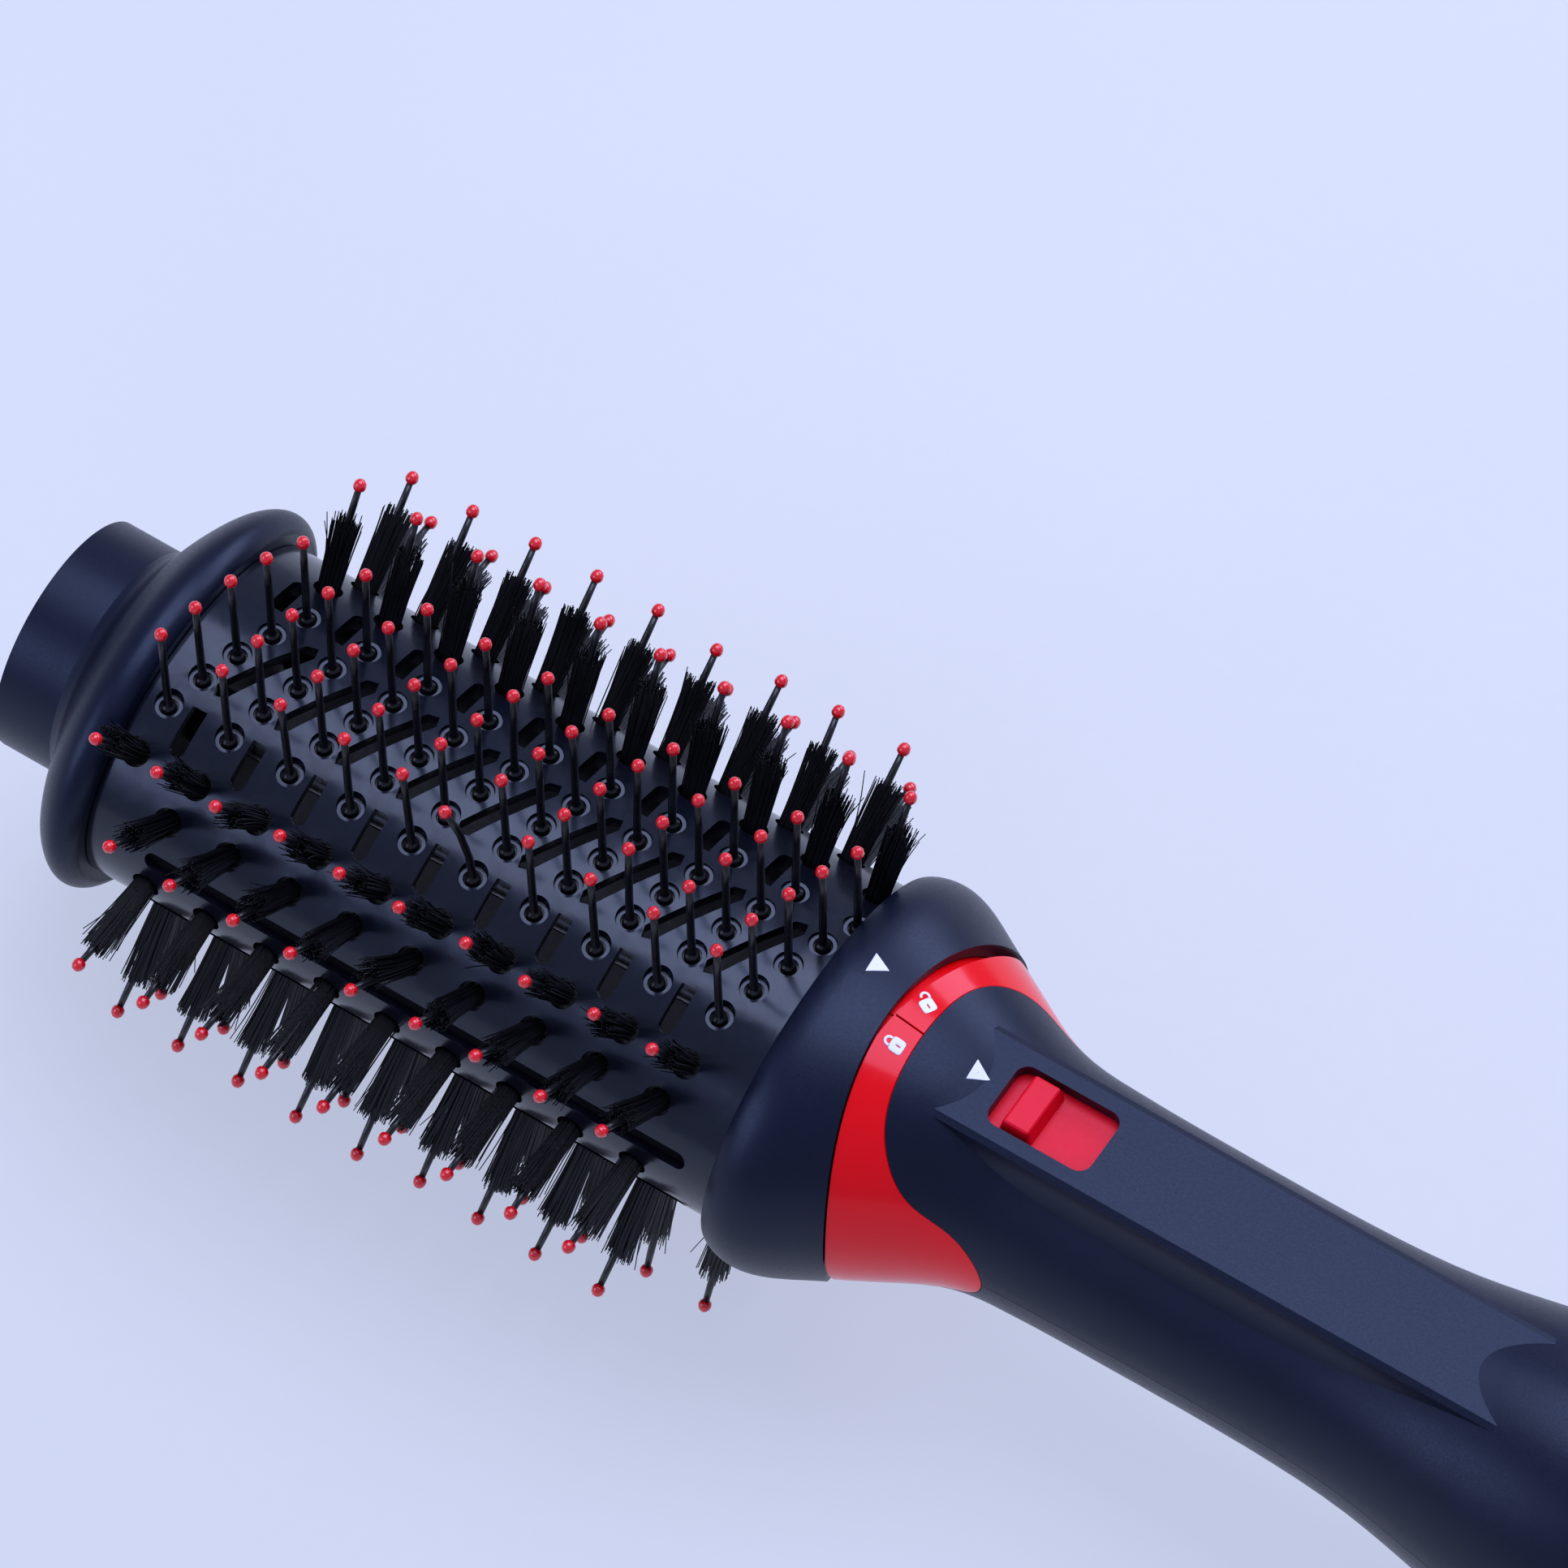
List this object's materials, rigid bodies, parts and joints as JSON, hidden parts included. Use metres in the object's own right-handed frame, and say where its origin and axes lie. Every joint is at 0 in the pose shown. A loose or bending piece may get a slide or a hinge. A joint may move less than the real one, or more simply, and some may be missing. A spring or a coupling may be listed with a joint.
{
  "type": "hot air styling brush",
  "caption": "Hot-air styling brush: vented oval ball-pin and bristle head that twist-locks on to a round handle with slide switch, heater and fan.",
  "frame": {"origin": "centre of the cool tip's end face, on the brush's long axis", "axes": "+X along the brush from the tip to the cord, +Z out of the barrel's flat upper face and the switch side, +Y across"},
  "size_m": [0.3575, 0.096, 0.0908],
  "materials": {
    "soft_touch_black": "soft-touch painted ABS, fine matte",
    "ceramic_black": "glossy ceramic coat on a moulded barrel",
    "moulded_black": "moulded glass-filled nylon, satin",
    "gloss_red": "polished moulded ABS",
    "satin_red": "satin moulded ABS",
    "nylon_pin": "moulded nylon pin",
    "nylon_bristle": "drawn nylon filament",
    "red_bead": "dipped epoxy bead",
    "steel": "zinc-plated steel",
    "silicone": "moulded silicone",
    "mica": "pressed mica sheet",
    "resistance_wire": "drawn nickel-chrome wire",
    "ceramic_white": "glazed ceramic",
    "motor_steel": "nickel-plated steel can",
    "circuit_green": "solder-masked glass-epoxy",
    "filter_mesh": "woven nylon mesh"
  },
  "bodies": {
    "handle": {"trim_ring": "gloss_red", "bayonet_socket": "moulded_black", "outlet_grille": "moulded_black", "upper_shell": "soft_touch_black", "lower_shell": "soft_touch_black", "shell_screws": "steel", "switch_body": "moulded_black", "heater_sleeve": "mica", "heater_frame": "mica", "heater_coil": "resistance_wire", "thermostat": "ceramic_white", "thermal_fuse": "steel", "fan_duct": "moulded_black", "motor": "motor_steel", "motor_bracket": "moulded_black", "control_board": "circuit_green", "inlet_grille": "soft_touch_black", "inlet_filter": "filter_mesh", "rear_cap": "soft_touch_black"},
    "seal": {"duct_seal": "silicone"},
    "head": {"cool_tip": "soft_touch_black", "tip_cap": "moulded_black", "tip_screw": "steel", "front_bulkhead": "moulded_black", "rear_bulkhead": "moulded_black", "tie_rod": "steel", "barrel_shell": "ceramic_black", "bristle_frame_upper": "moulded_black", "bristle_frame_lower": "moulded_black", "pins_upper": "nylon_pin", "pins_lower": "nylon_pin", "pin_balls_upper": "red_bead", "pin_balls_lower": "red_bead", "tufts_near": "nylon_bristle", "tufts_far": "nylon_bristle", "tuft_pins_near": "nylon_pin", "tuft_pins_far": "nylon_pin", "tuft_balls_near": "red_bead", "tuft_balls_far": "red_bead", "collar": "soft_touch_black"},
    "switch": {"slider": "satin_red"},
    "fan": {"fan_rotor": "moulded_black", "fan_shaft": "steel"},
    "gland": {"cord_gland": "moulded_black"}
  },
  "joints": [
    {"name": "head_twist", "type": "hinge", "parent": "handle", "child": "seal", "pos_m": [0.155, 0, 0], "axis": [1, 0, 0], "range_deg": [0, 18.4]},
    {"name": "head_pull", "type": "slide", "parent": "seal", "child": "head", "axis": [-1, 0, 0], "range_m": [0, 0.06]},
    {"name": "switch_slide", "type": "slide", "parent": "handle", "child": "switch", "axis": [1, 0, 0], "range_m": [0, 0.009]},
    {"name": "fan_spin", "type": "hinge", "parent": "handle", "child": "fan", "pos_m": [0.28, 0, 0], "axis": [1, 0, 0], "continuous": true},
    {"name": "gland_swivel", "type": "hinge", "parent": "handle", "child": "gland", "pos_m": [0.34, 0, 0], "axis": [1, 0, 0], "continuous": true}
  ]
}
